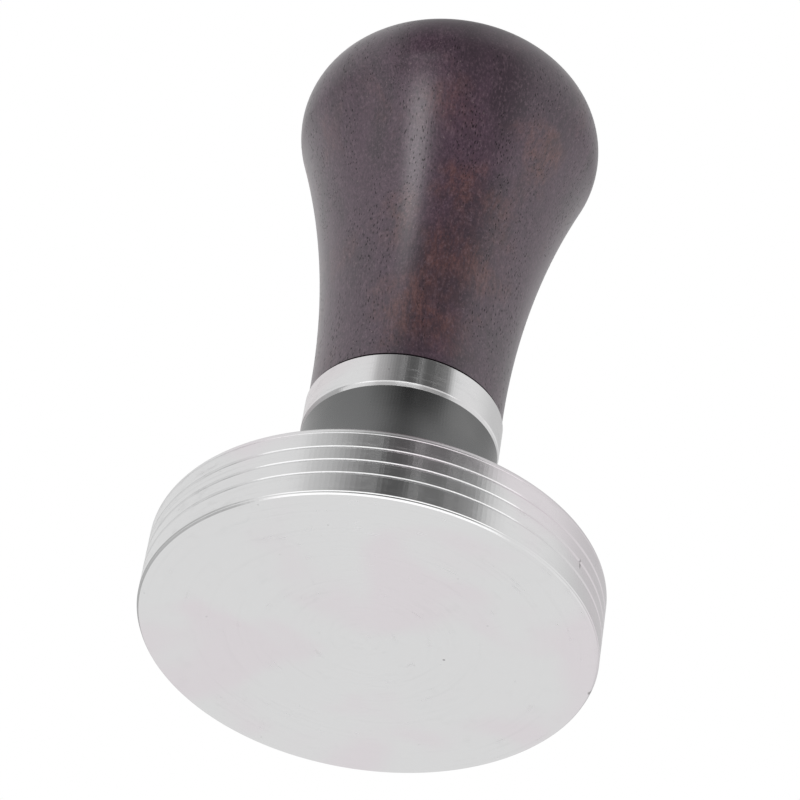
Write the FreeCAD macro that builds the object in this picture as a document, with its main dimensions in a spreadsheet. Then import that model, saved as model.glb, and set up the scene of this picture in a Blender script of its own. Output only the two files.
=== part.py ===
"""Espresso tamper: a turned disc and neck on a centre stud, a ferrule ring and a screwed-on handle.

Millimetres. The tamping face lies on Z = 0 with the origin at its centre, and +Z runs up the
axis to the top of the handle. Threads are plain cylinders at their major diameter.
"""
import FreeCAD, Part
import math
import os

import Sketcher

PARTS_FOLDER = "parts"

# Driving dimensions in millimetres, unless the note says count or degrees.
DIMENSIONS = [
    ("base_radius", 29.0, "disc, for a 58 mm basket"),
    ("base_thickness", 10.5, "disc, face to top"),
    ("rim_round", 1.5, "round on the top edge of the disc"),
    ("face_chamfer", 0.25, "chamfer round the tamping face"),
    ("groove_drop", 1.85, "middle of the highest side groove below the rim's round"),
    ("groove_pitch", 2.0, "between side grooves"),
    ("groove_count", 3, "side grooves (count)"),
    ("groove_width", 0.4, "each side groove"),
    ("groove_depth", 0.3, "each side groove"),
    ("boss_radius", 9.0, "boss that centres the neck on the disc"),
    ("boss_rise", 1.5, "boss above the disc"),
    ("stud_radius", 3.95, "M8 stud over its thread"),
    ("stud_chamfer", 0.8, "both ends of the stud"),
    ("socket_flats", 4.0, "hexagon socket in the stud's top, across flats"),
    ("socket_depth", 4.0, "hexagon socket in the stud's top"),
    ("stud_depth", 7.5, "tapped hole below the top of the boss"),
    ("thread_grip", 13.5, "stud inside the threaded insert"),
    ("thread_gap", 0.05, "radial gap between the stud and a tapped hole"),
    ("pass_gap", 0.1, "radial gap between the stud and a plain hole"),
    ("seat_gap", 0.1, "radial gap round a boss or tenon in its recess"),
    ("neck_height", 20.2, "neck, disc to ferrule"),
    ("neck_radius", 12.8, "neck under the ferrule"),
    ("foot_radius", 20.5, "neck where it stands on the disc"),
    ("foot_rise", 1.0, "straight edge at the neck's foot"),
    ("pocket_gap", 1.0, "radial gap round the plain washer in the neck's pocket"),
    ("nut_headroom", 0.9, "between the nut and the ferrule"),
    ("washer_radius", 8.0, "plain washer"),
    ("washer_height", 1.6, "plain washer"),
    ("spring_radius", 7.4, "spring washer"),
    ("spring_height", 2.0, "spring washer, flattened"),
    ("spring_split", 8.0, "gap in the spring washer (degrees)"),
    ("nut_flats", 13.0, "M8 nut across flats"),
    ("nut_height", 6.5, "M8 nut"),
    ("nut_bevel", 0.5, "bevel on the nut's corners"),
    ("ferrule_radius", 12.95, "ferrule ring"),
    ("ferrule_height", 5.0, "ferrule ring"),
    ("ferrule_bevel", 0.4, "lower outer edge of the ferrule"),
    ("ferrule_web", 2.0, "floor of the ferrule under the tenon"),
    ("tenon_radius", 9.0, "tenon on the handle"),
    ("tenon_gap", 0.1, "under the tenon's end"),
    ("insert_radius", 6.0, "threaded insert in the handle"),
    ("insert_length", 16.0, "threaded insert in the handle"),
    ("insert_recess", 0.2, "insert above the tenon's end"),
    ("glue_groove", 0.5, "depth and height of a glue groove round the insert"),
    ("glue_groove_count", 5, "glue grooves round the insert (count)"),
    ("glue_gap", 0.05, "radial glue line round the insert"),
    ("grip_length", 62.3, "handle above the ferrule"),
    ("grip_bevel", 0.25, "lower edge of the handle"),
    ("waist_radius", 12.72, "narrowest part of the handle"),
    ("waist_rise", 2.3, "narrowest part above the ferrule"),
    ("bulb_radius", 20.5, "widest part of the handle"),
    ("crown_rise", 13.5, "top of the handle above its widest part"),
    ("shoulder_radius", 10.5, "curve round the widest part"),
]

# Levels up the axis, each from the dimensions that set it.
FACE = "0"
DISC_TOP = "Sizes.base_thickness"
TOP_GROOVE = f"{DISC_TOP} - Sizes.rim_round - Sizes.groove_drop"
LOW_GROOVE = f"{TOP_GROOVE} - Sizes.groove_pitch * (Sizes.groove_count - 1)"
BOSS_TOP = f"{DISC_TOP} + Sizes.boss_rise"
STUD_FOOT = f"{BOSS_TOP} - Sizes.stud_depth"
NECK_TOP = f"{DISC_TOP} + Sizes.neck_height"
NUT_TOP = f"{NECK_TOP} - Sizes.nut_headroom"
SPRING_TOP = f"{NUT_TOP} - Sizes.nut_height"
WASHER_TOP = f"{SPRING_TOP} - Sizes.spring_height"
POCKET_FLOOR = f"{WASHER_TOP} - Sizes.washer_height"
WEB_TOP = f"{NECK_TOP} + Sizes.ferrule_web"
FERRULE_TOP = f"{NECK_TOP} + Sizes.ferrule_height"
TENON_END = f"{WEB_TOP} + Sizes.tenon_gap"
INSERT_FOOT = f"{TENON_END} + Sizes.insert_recess"
INSERT_TOP = f"{INSERT_FOOT} + Sizes.insert_length"
STUD_TOP = f"{INSERT_FOOT} + Sizes.thread_grip"
WAIST_LEVEL = f"{FERRULE_TOP} + Sizes.waist_rise"
HANDLE_TOP = f"{FERRULE_TOP} + Sizes.grip_length"
BULB_LEVEL = f"{HANDLE_TOP} - Sizes.crown_rise"

# Radii that more than one piece uses.
TAPPED_RADIUS = "Sizes.stud_radius + Sizes.thread_gap"
PLAIN_HOLE_RADIUS = "Sizes.stud_radius + Sizes.pass_gap"
POCKET_RADIUS = "Sizes.washer_radius + Sizes.pocket_gap"
AXIS = "0"


def make_sizes(doc):
    """One aliased cell for each driving dimension."""
    sheet = doc.addObject("Spreadsheet::Sheet", "Sizes")
    for row, (alias, value, note) in enumerate(DIMENSIONS, start=1):
        sheet.set(f"A{row}", note)
        sheet.set(f"B{row}", str(value))
        sheet.setAlias(f"B{row}", alias)
    doc.recompute()
    return sheet


def number(doc, expression):
    """The value that an expression has now, for a sketch's first shape."""
    return float(doc.Sizes.evalExpression(expression))


def add_body(doc, label):
    body = doc.addObject("PartDesign::Body", label)
    body.Label = label
    body.Placement = FreeCAD.Placement()
    return body


def origin_item(body, role):
    """One of the body's own origin planes or axes."""
    return next(item for item in body.Origin.OriginFeatures if item.Role == role)


def add_sketch(body, name, plane, level=None):
    """A sketch on one of the body's origin planes, lifted to a level if one is given."""
    sketch = body.newObject("Sketcher::SketchObject", name)
    sketch.AttachmentSupport = [(origin_item(body, plane), "")]
    sketch.MapMode = "FlatFace"
    if level:
        sketch.setExpression("AttachmentOffset.Base.z", level)
    return sketch


def hold(sketch, constraint, expression):
    """Add a dimension to a sketch and bind it to an expression."""
    index = sketch.addConstraint(constraint)
    sketch.setExpression(f"Constraints[{index}]", expression)


def hold_point(sketch, geometry, point, across, up):
    """Hold a point at two expressions measured from the sketch's origin."""
    doc = sketch.Document
    for kind, axis, expression in (("DistanceX", -2, across), ("DistanceY", -1, up)):
        if expression == AXIS:
            sketch.addConstraint(Sketcher.Constraint("PointOnObject", geometry, point, axis))
        else:
            size = number(doc, expression)
            hold(sketch, Sketcher.Constraint(kind, -1, 1, geometry, point, size), expression)


def draw_outline(sketch, corners):
    """A closed outline of straight edges through corners given as pairs of expressions."""
    doc = sketch.Document
    points = [FreeCAD.Vector(number(doc, across), number(doc, up), 0) for across, up in corners]
    last = len(points) - 1
    for index, start in enumerate(points):
        end = points[index + 1 if index < last else 0]
        sketch.addGeometry(Part.LineSegment(start, end), False)
    for index, (across, up) in enumerate(corners):
        previous = index - 1 if index else last
        sketch.addConstraint(Sketcher.Constraint("Coincident", previous, 2, index, 1))
        hold_point(sketch, index, 1, across, up)


def draw_circle(sketch, radius):
    """A circle round the sketch's origin."""
    size = number(sketch.Document, radius)
    circle = sketch.addGeometry(Part.Circle(FreeCAD.Vector(), FreeCAD.Vector(0, 0, 1), size), False)
    sketch.addConstraint(Sketcher.Constraint("Coincident", circle, 3, -1, 1))
    hold(sketch, Sketcher.Constraint("Radius", circle, size), radius)


def draw_hexagon(sketch, flats):
    """A hexagon round the sketch's origin, two flats level with its X axis."""
    reach = number(sketch.Document, flats) / math.sqrt(3)
    turn = math.pi / 3
    points = [FreeCAD.Vector(reach * math.cos(turn * k), reach * math.sin(turn * k), 0) for k in range(6)]
    for index, start in enumerate(points):
        sketch.addGeometry(Part.LineSegment(start, points[(index + 1) % 6]), False)
    circle = sketch.addGeometry(Part.Circle(FreeCAD.Vector(), FreeCAD.Vector(0, 0, 1), reach), True)
    sketch.addConstraint(Sketcher.Constraint("Coincident", circle, 3, -1, 1))
    for index in range(6):
        sketch.addConstraint(Sketcher.Constraint("Coincident", index, 2, (index + 1) % 6, 1))
        sketch.addConstraint(Sketcher.Constraint("PointOnObject", index, 1, circle))
        if index:
            sketch.addConstraint(Sketcher.Constraint("Equal", 0, index))
    sketch.addConstraint(Sketcher.Constraint("Horizontal", 1))
    hold(sketch, Sketcher.Constraint("Radius", circle, reach), f"({flats}) / sqrt(3)")


def add_pad(body, name, sketch, height):
    pad = body.newObject("PartDesign::Pad", name)
    pad.Profile = sketch
    pad.setExpression("Length", height)
    return pad


def add_pocket(body, name, sketch, depth, upwards=False):
    """Cut a sketch down from its level, or up from it."""
    pocket = body.newObject("PartDesign::Pocket", name)
    pocket.Profile = sketch
    pocket.Reversed = upwards
    pocket.setExpression("Length", depth)
    return pocket


def add_turned(body, kind, name, sketch, sweep=None):
    """Revolve a section round the axis, as a Revolution or as a Groove that cuts."""
    turned = body.newObject(f"PartDesign::{kind}", name)
    turned.Profile = sketch
    turned.ReferenceAxis = (sketch, ["V_Axis"])
    if sweep:
        turned.setExpression("Angle", sweep)
    else:
        turned.Angle = 360.0
    return turned


def repeat_up(body, name, feature, pitch, count):
    """Repeat a feature up the axis."""
    pattern = body.newObject("PartDesign::LinearPattern", name)
    pattern.Originals = [feature]
    pattern.Direction = (origin_item(body, "Z_Axis"), [""])
    pattern.setExpression("Length", f"({pitch}) * ({count} - 1)")
    pattern.setExpression("Occurrences", count)
    body.Tip = pattern
    return pattern


def rim_edges(doc, shape, level):
    """Names of the widest circular edges at a level."""
    near = 1e-4
    height = number(doc, level)
    rims = {}
    for index, edge in enumerate(shape.Edges, start=1):
        if edge.Degenerated or not isinstance(edge.Curve, Part.Circle):
            continue
        if abs(edge.Curve.Center.z - height) < near:
            rims[f"Edge{index}"] = edge.Curve.Radius
    widest = max(rims.values())
    return [name for name, radius in rims.items() if widest - radius < near]


def dress_rim(body, kind, name, level, size):
    """Fillet or chamfer the body's outer rim at a level."""
    doc = body.Document
    doc.recompute()
    base = body.Tip
    edges = rim_edges(doc, base.Shape, level)
    feature = body.newObject(f"PartDesign::{kind}", name)
    feature.Base = (base, edges)
    feature.setExpression("Radius" if kind == "Fillet" else "Size", size)
    return feature


def cut_ring(body, name, radius, depth, middle, width):
    """Turn a square groove into a cylinder of the radius given."""
    low = f"{middle} - ({width}) / 2"
    high = f"{middle} + ({width}) / 2"
    inner = f"{radius} - {depth}"
    outer = f"{radius} + {depth}"
    section = add_sketch(body, f"{name}Section", "XZ_Plane")
    draw_outline(section, [(inner, low), (outer, low), (outer, high), (inner, high)])
    return add_turned(body, "Groove", name, section)


def make_tamping_base(doc):
    """Disc with side grooves, a centring boss and a blind tapped hole."""
    body = add_body(doc, "tamping_base")
    disc = add_sketch(body, "DiscOutline", "XY_Plane")
    draw_circle(disc, "Sizes.base_radius")
    add_pad(body, "Disc", disc, DISC_TOP)
    boss = add_sketch(body, "BossOutline", "XY_Plane", DISC_TOP)
    draw_circle(boss, "Sizes.boss_radius")
    add_pad(body, "Boss", boss, "Sizes.boss_rise")
    groove = cut_ring(body, "SideGroove", "Sizes.base_radius", "Sizes.groove_depth",
                      LOW_GROOVE, "Sizes.groove_width")
    repeat_up(body, "SideGrooves", groove, "Sizes.groove_pitch", "Sizes.groove_count")
    dress_rim(body, "Fillet", "RimRound", DISC_TOP, "Sizes.rim_round")
    dress_rim(body, "Chamfer", "FaceChamfer", FACE, "Sizes.face_chamfer")
    hole = add_sketch(body, "StudHoleOutline", "XY_Plane", BOSS_TOP)
    draw_circle(hole, TAPPED_RADIUS)
    add_pocket(body, "StudHole", hole, "Sizes.stud_depth")
    return body


def make_neck_collar(doc):
    """Bell-shaped neck with a recess for the boss, a stud hole and a pocket for the nut."""
    body = add_body(doc, "neck_collar")
    recess_radius = "Sizes.boss_radius + Sizes.seat_gap"
    foot_top = f"{DISC_TOP} + Sizes.foot_rise"
    corners = [
        ("Sizes.neck_radius", NECK_TOP),
        (POCKET_RADIUS, NECK_TOP),
        (POCKET_RADIUS, POCKET_FLOOR),
        (PLAIN_HOLE_RADIUS, POCKET_FLOOR),
        (PLAIN_HOLE_RADIUS, f"{BOSS_TOP} + Sizes.seat_gap"),
        (recess_radius, f"{BOSS_TOP} + Sizes.seat_gap"),
        (recess_radius, DISC_TOP),
        ("Sizes.foot_radius", DISC_TOP),
        ("Sizes.foot_radius", foot_top),
    ]
    section = add_sketch(body, "NeckSection", "XZ_Plane")
    points = [FreeCAD.Vector(number(doc, across), number(doc, up), 0) for across, up in corners]
    for start, end in zip(points, points[1:]):
        section.addGeometry(Part.LineSegment(start, end), False)
    # The flank is an arc that leaves the ferrule parallel to the axis and reaches the foot.
    top, foot = points[0], points[-1]
    spread, drop = foot.x - top.x, top.y - foot.y
    radius = (spread ** 2 + drop ** 2) / (2 * spread)
    centre = FreeCAD.Vector(top.x + radius, top.y, 0)
    circle = Part.Circle(centre, FreeCAD.Vector(0, 0, 1), radius)
    sweep = math.asin(drop / radius)
    flank = section.addGeometry(Part.ArcOfCircle(circle, math.pi, math.pi + sweep), False)
    for index in range(flank - 1):
        section.addConstraint(Sketcher.Constraint("Coincident", index, 2, index + 1, 1))
    for index, (across, up) in enumerate(corners[:-1]):
        hold_point(section, index, 1, across, up)
    hold_point(section, flank - 1, 2, *corners[-1])
    section.addConstraint(Sketcher.Constraint("Coincident", flank, 1, 0, 1))
    section.addConstraint(Sketcher.Constraint("Coincident", flank, 2, flank - 1, 2))
    hold(section, Sketcher.Constraint("DistanceY", -1, 1, flank, 3, top.y), NECK_TOP)
    add_turned(body, "Revolution", "Neck", section)
    return body


def make_centre_stud(doc):
    """M8 stud with chamfered ends and a hexagon socket in its top."""
    body = add_body(doc, "centre_stud")
    outline = add_sketch(body, "StudOutline", "XY_Plane", STUD_FOOT)
    draw_circle(outline, "Sizes.stud_radius")
    add_pad(body, "Stud", outline, f"{STUD_TOP} - ({STUD_FOOT})")
    dress_rim(body, "Chamfer", "FootChamfer", STUD_FOOT, "Sizes.stud_chamfer")
    dress_rim(body, "Chamfer", "TopChamfer", STUD_TOP, "Sizes.stud_chamfer")
    socket = add_sketch(body, "SocketOutline", "XY_Plane", STUD_TOP)
    draw_hexagon(socket, "Sizes.socket_flats")
    add_pocket(body, "Socket", socket, "Sizes.socket_depth")
    return body


def make_washer(doc, label, radius, foot, height, sweep=None):
    """Ring round the stud, split if its section is swept less than a full turn."""
    body = add_body(doc, label)
    top = f"{foot} + {height}"
    section = add_sketch(body, "WasherSection", "XZ_Plane")
    inner = PLAIN_HOLE_RADIUS
    draw_outline(section, [(inner, foot), (radius, foot), (radius, top), (inner, top)])
    add_turned(body, "Revolution", "Washer", section, sweep)
    return body


def make_hex_nut(doc):
    """Hexagon nut with its corners bevelled at both faces."""
    body = add_body(doc, "hex_nut")
    outline = add_sketch(body, "NutOutline", "XY_Plane", SPRING_TOP)
    draw_hexagon(outline, "Sizes.nut_flats")
    add_pad(body, "Nut", outline, "Sizes.nut_height")
    hole = add_sketch(body, "ThreadOutline", "XY_Plane", NUT_TOP)
    draw_circle(hole, TAPPED_RADIUS)
    add_pocket(body, "Thread", hole, "Sizes.nut_height")
    corner = "Sizes.nut_flats / sqrt(3)"
    for name, face, inward in (("LowerBevel", SPRING_TOP, "+"), ("UpperBevel", NUT_TOP, "-")):
        bevel = add_sketch(body, f"{name}Section", "XZ_Plane")
        draw_outline(bevel, [
            ("Sizes.nut_flats / 2", face),
            (f"{corner} + Sizes.nut_bevel", face),
            (f"{corner} + Sizes.nut_bevel", f"{face} {inward} Sizes.nut_bevel * 2"),
        ])
        add_turned(body, "Groove", name, bevel)
    return body


def make_ferrule_ring(doc):
    """Ring with a floor that the stud passes through and a recess for the handle's tenon."""
    body = add_body(doc, "ferrule_ring")
    recess_radius = "Sizes.tenon_radius + Sizes.seat_gap"
    section = add_sketch(body, "FerruleSection", "XZ_Plane")
    draw_outline(section, [
        (PLAIN_HOLE_RADIUS, NECK_TOP),
        ("Sizes.ferrule_radius", NECK_TOP),
        ("Sizes.ferrule_radius", FERRULE_TOP),
        (recess_radius, FERRULE_TOP),
        (recess_radius, WEB_TOP),
        (PLAIN_HOLE_RADIUS, WEB_TOP),
    ])
    add_turned(body, "Revolution", "Ferrule", section)
    dress_rim(body, "Chamfer", "LowerBevel", NECK_TOP, "Sizes.ferrule_bevel")
    return body


def make_threaded_insert(doc):
    """Tapped sleeve glued into the handle, with grooves that key the glue."""
    body = add_body(doc, "threaded_insert")
    section = add_sketch(body, "InsertSection", "XZ_Plane")
    draw_outline(section, [
        (TAPPED_RADIUS, INSERT_FOOT),
        ("Sizes.insert_radius", INSERT_FOOT),
        ("Sizes.insert_radius", INSERT_TOP),
        (TAPPED_RADIUS, INSERT_TOP),
    ])
    add_turned(body, "Revolution", "Insert", section)
    pitch = "Sizes.insert_length / (Sizes.glue_groove_count + 1)"
    groove = cut_ring(body, "GlueGroove", "Sizes.insert_radius", "Sizes.glue_groove",
                      f"{INSERT_FOOT} + {pitch}", "Sizes.glue_groove")
    repeat_up(body, "GlueGrooves", groove, pitch, "Sizes.glue_groove_count")
    return body


def handle_arcs(doc):
    """The handle's outline: a hollow grip, a round shoulder and a dome, each tangent to the next.

    Gives centre, radius, first angle and last angle of each arc, going up the handle.
    """
    waist, waist_level = number(doc, "Sizes.waist_radius"), number(doc, WAIST_LEVEL)
    bulb, bulb_level = number(doc, "Sizes.bulb_radius"), number(doc, BULB_LEVEL)
    shoulder, crown = number(doc, "Sizes.shoulder_radius"), number(doc, HANDLE_TOP)
    swell, climb = bulb - waist, bulb_level - waist_level
    grip = (swell ** 2 + climb ** 2) / (2 * swell) - shoulder
    lean = math.asin(climb / (grip + shoulder))
    foot_turn = math.asin((number(doc, FERRULE_TOP) - waist_level) / grip)
    inset, rise = bulb - shoulder, crown - bulb_level
    dome = (inset ** 2 + rise ** 2 - shoulder ** 2) / (2 * (rise - shoulder))
    meet = math.atan2(bulb_level - (crown - dome), inset)
    return [
        (FreeCAD.Vector(waist + grip, waist_level, 0), grip, math.pi - lean, math.pi - foot_turn),
        (FreeCAD.Vector(inset, bulb_level, 0), shoulder, -lean, meet),
        (FreeCAD.Vector(0, crown - dome, 0), dome, meet, math.pi / 2),
    ]


def make_handle_grip(doc):
    """Turned wooden handle with a tenon below and a blind bore for the insert."""
    body = add_body(doc, "handle_grip")
    section = add_sketch(body, "HandleSection", "XZ_Plane")
    arcs = []
    for centre, radius, first, last in handle_arcs(doc):
        circle = Part.Circle(centre, FreeCAD.Vector(0, 0, 1), radius)
        arcs.append(section.addGeometry(Part.ArcOfCircle(circle, first, last), False))
    grip, shoulder, dome = arcs
    edge = section.Geometry[grip].EndPoint
    level = {name: number(doc, name) for name in (FERRULE_TOP, TENON_END, HANDLE_TOP)}
    tenon = number(doc, "Sizes.tenon_radius")
    path = [
        FreeCAD.Vector(0, level[HANDLE_TOP], 0),
        FreeCAD.Vector(0, level[TENON_END], 0),
        FreeCAD.Vector(tenon, level[TENON_END], 0),
        FreeCAD.Vector(tenon, level[FERRULE_TOP], 0),
        edge,
    ]
    lines = [section.addGeometry(Part.LineSegment(start, end), False) for start, end in zip(path, path[1:])]
    axis, floor, wall, shoulder_face = lines
    for first, second in zip(lines, lines[1:]):
        section.addConstraint(Sketcher.Constraint("Coincident", first, 2, second, 1))
    section.addConstraint(Sketcher.Constraint("Coincident", shoulder_face, 2, grip, 2))
    section.addConstraint(Sketcher.Constraint("Tangent", grip, 1, shoulder, 1))
    section.addConstraint(Sketcher.Constraint("Tangent", shoulder, 2, dome, 1))
    section.addConstraint(Sketcher.Constraint("Coincident", dome, 2, axis, 1))
    section.addConstraint(Sketcher.Constraint("PointOnObject", dome, 3, -2))
    section.addConstraint(Sketcher.Constraint("Horizontal", shoulder_face))
    hold_point(section, axis, 1, AXIS, HANDLE_TOP)
    hold_point(section, floor, 1, AXIS, TENON_END)
    hold_point(section, floor, 2, "Sizes.tenon_radius", TENON_END)
    hold_point(section, wall, 2, "Sizes.tenon_radius", FERRULE_TOP)
    hold_point(section, shoulder, 3, "Sizes.bulb_radius - Sizes.shoulder_radius", BULB_LEVEL)
    round_size = number(doc, "Sizes.shoulder_radius")
    hold(section, Sketcher.Constraint("Radius", shoulder, round_size), "Sizes.shoulder_radius")
    waist_point = FreeCAD.Vector(number(doc, "Sizes.waist_radius"), number(doc, WAIST_LEVEL), 0)
    waist = section.addGeometry(Part.Point(waist_point), True)
    hold_point(section, waist, 1, "Sizes.waist_radius", WAIST_LEVEL)
    section.addConstraint(Sketcher.Constraint("PointOnObject", waist, 1, grip))
    hold(section, Sketcher.Constraint("DistanceY", -1, 1, grip, 3, waist_point.y), WAIST_LEVEL)
    add_turned(body, "Revolution", "Handle", section)
    dress_rim(body, "Chamfer", "LowerBevel", FERRULE_TOP, "Sizes.grip_bevel")
    bore = add_sketch(body, "BoreOutline", "XY_Plane", TENON_END)
    draw_circle(bore, "Sizes.insert_radius + Sizes.glue_gap")
    add_pocket(body, "Bore", bore, "Sizes.insert_recess + Sizes.insert_length + Sizes.glue_gap", upwards=True)
    return body


def check(doc, pieces):
    """Stop if any object failed or any piece is empty, broken or more than one solid."""
    for item in doc.Objects:
        if "Invalid" in item.State or "Error" in item.State:
            raise RuntimeError(f"{item.Label} failed: {item.State}")
    for piece in pieces:
        shape = piece.Shape
        if shape.isNull() or not shape.isValid() or len(shape.Solids) != 1:
            raise RuntimeError(f"{piece.Label} isn't one valid solid")


def main():
    doc = FreeCAD.newDocument("Tamper")
    make_sizes(doc)
    pieces = [
        make_tamping_base(doc),
        make_neck_collar(doc),
        make_centre_stud(doc),
        make_washer(doc, "plain_washer", "Sizes.washer_radius", POCKET_FLOOR, "Sizes.washer_height"),
        make_washer(doc, "spring_washer", "Sizes.spring_radius", WASHER_TOP, "Sizes.spring_height",
                    "360 - Sizes.spring_split"),
        make_hex_nut(doc),
        make_ferrule_ring(doc),
        make_threaded_insert(doc),
        make_handle_grip(doc),
    ]
    doc.recompute()
    check(doc, pieces)
    os.makedirs(PARTS_FOLDER, exist_ok=True)
    for piece in pieces:
        piece.Shape.exportStep(os.path.join(PARTS_FOLDER, f"{piece.Label}.step"))
        box = piece.Shape.optimalBoundingBox(False)
        print(f"{piece.Label}: {piece.Shape.Volume:.1f} mm3, Z {box.ZMin:.2f} to {box.ZMax:.2f}, "
              f"across {box.XLength:.2f}")


main()
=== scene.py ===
import math

import bmesh
import bpy
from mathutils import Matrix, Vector


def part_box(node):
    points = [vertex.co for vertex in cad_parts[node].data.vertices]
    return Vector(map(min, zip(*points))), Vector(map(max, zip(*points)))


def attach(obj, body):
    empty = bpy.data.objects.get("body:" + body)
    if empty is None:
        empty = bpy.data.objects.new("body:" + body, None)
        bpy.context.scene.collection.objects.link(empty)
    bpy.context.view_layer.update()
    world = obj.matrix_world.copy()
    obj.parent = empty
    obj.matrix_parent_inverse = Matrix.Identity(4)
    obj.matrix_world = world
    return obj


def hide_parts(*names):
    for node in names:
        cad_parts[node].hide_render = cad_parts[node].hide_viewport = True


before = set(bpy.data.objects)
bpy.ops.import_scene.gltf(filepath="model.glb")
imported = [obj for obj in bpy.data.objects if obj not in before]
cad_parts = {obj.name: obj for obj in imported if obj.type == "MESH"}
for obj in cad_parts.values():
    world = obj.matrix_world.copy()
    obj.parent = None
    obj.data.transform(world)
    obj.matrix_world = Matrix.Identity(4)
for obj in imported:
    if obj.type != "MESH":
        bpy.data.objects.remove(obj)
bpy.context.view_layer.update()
scene = bpy.context.scene
print("frame loaded:", len(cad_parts), "nodes")

mm = 0.001
noLimit = 1000.0        # millimetres
fullTurn = 2 * math.pi
hexSides = 6
weldReach = 1e-7        # metres, as is the next
tinyEdge = 1e-8
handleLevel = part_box("handle_grip")[0].z / mm      # lowest point of the tenon
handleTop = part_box("handle_grip")[1].z / mm
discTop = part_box("neck_collar")[0].z / mm
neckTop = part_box("neck_collar")[1].z / mm
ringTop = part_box("ferrule_ring")[1].z / mm
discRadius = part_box("tamping_base")[1].x / mm


class Wire:
    # one output of a node, usable in sums
    def __init__(self, bench, socket):
        self.bench = bench
        self.socket = socket

    def __add__(self, other):
        return self.bench.calc("ADD", self, other)

    def __radd__(self, other):
        return self.bench.calc("ADD", other, self)

    def __sub__(self, other):
        return self.bench.calc("SUBTRACT", self, other)

    def __rsub__(self, other):
        return self.bench.calc("SUBTRACT", other, self)

    def __mul__(self, other):
        return self.bench.calc("MULTIPLY", self, other)

    def __rmul__(self, other):
        return self.bench.calc("MULTIPLY", other, self)

    def __truediv__(self, other):
        return self.bench.calc("DIVIDE", self, other)

    def __rtruediv__(self, other):
        return self.bench.calc("DIVIDE", other, self)


class Bench:
    # adds nodes to one tree
    def __init__(self, tree):
        self.tree = tree

    def pick(self, sockets, key):
        if isinstance(key, int):
            return sockets[key]
        return next(s for s in sockets if s.name == key and s.enabled)

    def node(self, kind, settings=None, feeds=None, out=0):
        item = self.tree.nodes.new(kind)
        for key, value in (settings or {}).items():
            if key == "stops":
                self.setStops(item.color_ramp, value)
            else:
                setattr(item, key, value)
        for key, value in (feeds or {}).items():
            socket = self.pick(item.inputs, key)
            if isinstance(value, Wire):
                self.tree.links.new(value.socket, socket)
            else:
                socket.default_value = value
        if not item.outputs:
            return item
        return Wire(self, self.pick(item.outputs, out))

    def setStops(self, ramp, stops):
        while len(ramp.elements) < len(stops):
            ramp.elements.new(1.0)
        for element, (place, shade) in zip(ramp.elements, stops):
            element.position = place
            element.color = grey(shade)

    def calc(self, operation, *values):
        return self.node("ShaderNodeMath", {"operation": operation}, dict(enumerate(values)))

    def vector(self, operation, *values, out=0):
        return self.node("ShaderNodeVectorMath", {"operation": operation}, dict(enumerate(values)), out)

    def scaled(self, vector, factor):
        return self.node("ShaderNodeVectorMath", {"operation": "SCALE"},
                         {"Vector": vector, "Scale": factor})

    def join(self, x, y, z):
        return self.node("ShaderNodeCombineXYZ", None, {"X": x, "Y": y, "Z": z})

    def split(self, vector):
        item = self.tree.nodes.new("ShaderNodeSeparateXYZ")
        self.tree.links.new(vector.socket, item.inputs[0])
        return [Wire(self, socket) for socket in item.outputs]

    def fade(self, value, low, high):
        return self.node("ShaderNodeMapRange", {"interpolation_type": "SMOOTHSTEP"},
                         {"Value": value, "From Min": low, "From Max": high})

    def blend(self, factor, first, second):
        return self.node("ShaderNodeMix", {"data_type": "RGBA"},
                         {"Factor": factor, "A": first, "B": second}, "Result")

    def noise(self, vector, scale, detail=2.0, roughness=0.5, distortion=0.0):
        return self.node("ShaderNodeTexNoise", None, {
            "Vector": vector, "Scale": scale, "Detail": detail,
            "Roughness": roughness, "Distortion": distortion})

    def cells(self, vector, scale):
        return self.node("ShaderNodeTexVoronoi", {"feature": "F1"},
                         {"Vector": vector, "Scale": scale}, "Distance")


def grey(value):
    return (value, value, value, 1)


cameraLook = {
    "spot": (0.0, -0.4036, -0.29104),
    "turn": (129.657, -7.449, -6.007),      # degrees about X, Y and Z
    "lens": 180.0,
    "sensor": 36.0,
    "clip": (0.01, 20.0),
}


def makeCamera(look):
    data = bpy.data.cameras.new("camera")
    data.lens = look["lens"]
    data.sensor_width = look["sensor"]
    data.clip_start, data.clip_end = look["clip"]
    camera = bpy.data.objects.new("camera", data)
    camera.location = look["spot"]
    camera.rotation_euler = [math.radians(angle) for angle in look["turn"]]
    scene.collection.objects.link(camera)
    scene.camera = camera


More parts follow.
